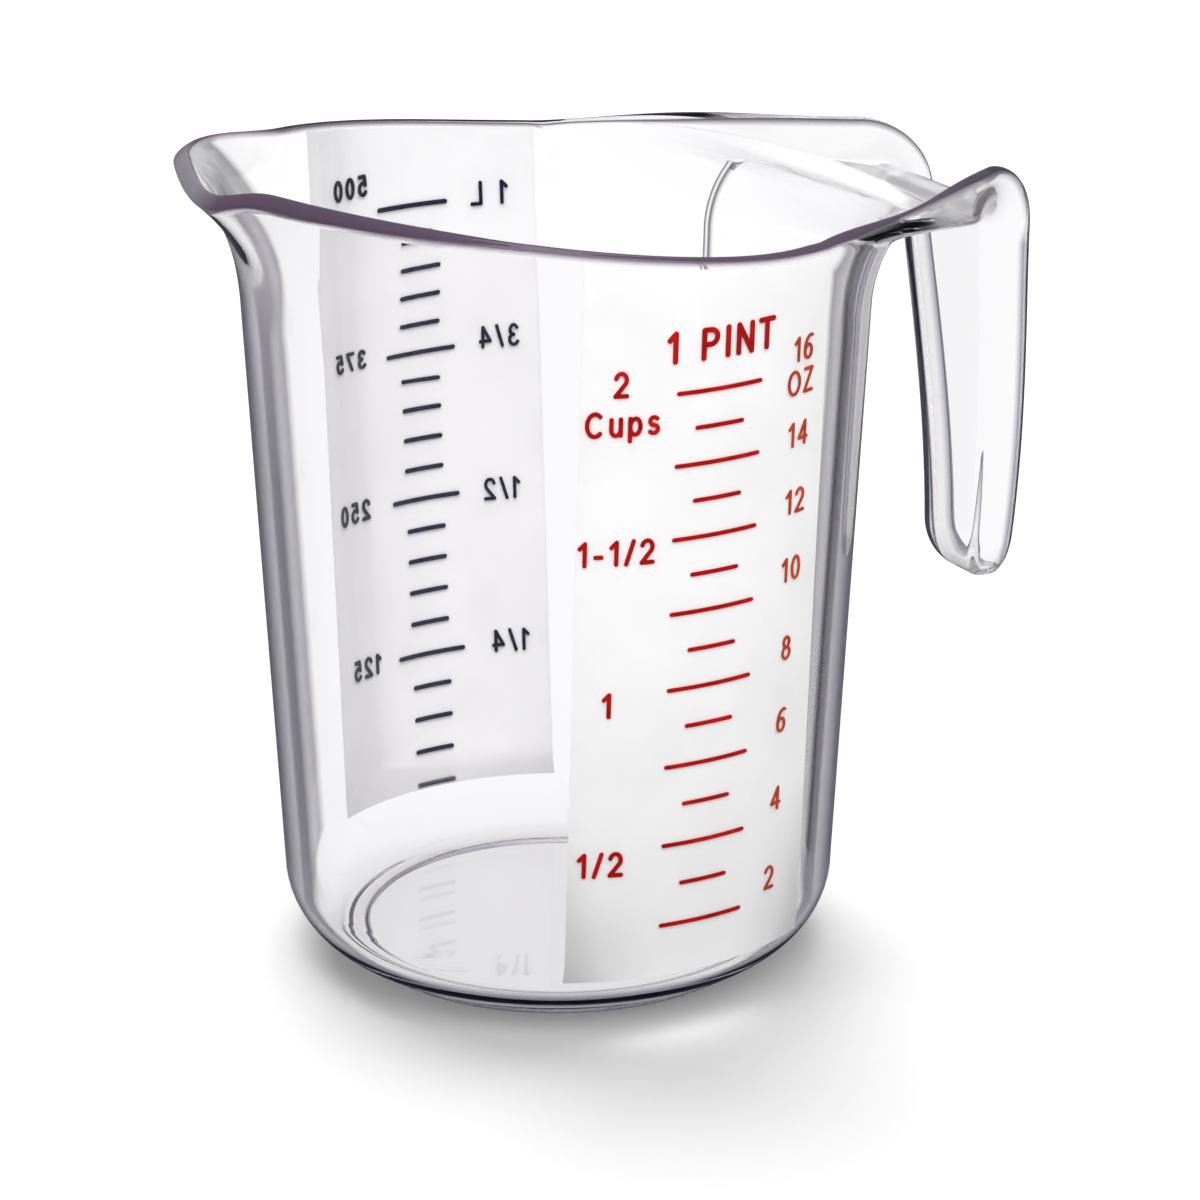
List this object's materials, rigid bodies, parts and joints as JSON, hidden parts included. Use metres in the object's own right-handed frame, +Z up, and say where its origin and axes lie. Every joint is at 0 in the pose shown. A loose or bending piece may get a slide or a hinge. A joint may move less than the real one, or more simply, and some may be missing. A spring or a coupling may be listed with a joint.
{
  "type": "measuring jug",
  "caption": "Clear moulded measuring jug whose wall flares into a pouring spout and rolls over into a hanging channel handle, with printed ounce and millilitre scales.",
  "frame": {"origin": "on the surface the jug stands on, under the middle of its overall length from spout lip to handle", "axes": "+X towards the handle and -X towards the spout, +Z up, -Y on the side of the ounce scale"},
  "size_m": [0.1314, 0.0924, 0.123],
  "materials": {
    "clear_plastic": "clear, polished",
    "panel_print": "translucent white print",
    "red_ink": "screen-printed ink",
    "blue_ink": "screen-printed ink"
  },
  "bodies": {
    "root": {"moulded_jug": "clear_plastic", "front_scale_panel": "panel_print", "rear_scale_panel": "panel_print", "ounce_mark_02": "red_ink", "ounce_mark_03": "red_ink", "ounce_mark_04": "red_ink", "ounce_mark_05": "red_ink", "ounce_mark_06": "red_ink", "ounce_mark_07": "red_ink", "ounce_mark_08": "red_ink", "ounce_mark_09": "red_ink", "ounce_mark_10": "red_ink", "ounce_mark_11": "red_ink", "ounce_mark_12": "red_ink", "ounce_mark_13": "red_ink", "ounce_mark_14": "red_ink", "ounce_mark_15": "red_ink", "ounce_mark_16": "red_ink", "millilitre_mark_025": "blue_ink", "millilitre_mark_050": "blue_ink", "millilitre_mark_075": "blue_ink", "millilitre_mark_100": "blue_ink", "millilitre_mark_125": "blue_ink", "millilitre_mark_150": "blue_ink", "millilitre_mark_175": "blue_ink", "millilitre_mark_200": "blue_ink", "millilitre_mark_225": "blue_ink", "millilitre_mark_250": "blue_ink", "millilitre_mark_275": "blue_ink", "millilitre_mark_300": "blue_ink", "millilitre_mark_325": "blue_ink", "millilitre_mark_350": "blue_ink", "millilitre_mark_375": "blue_ink", "millilitre_mark_400": "blue_ink", "millilitre_mark_425": "blue_ink", "millilitre_mark_450": "blue_ink", "millilitre_mark_475": "blue_ink", "millilitre_mark_500": "blue_ink"}
  },
  "joints": []
}
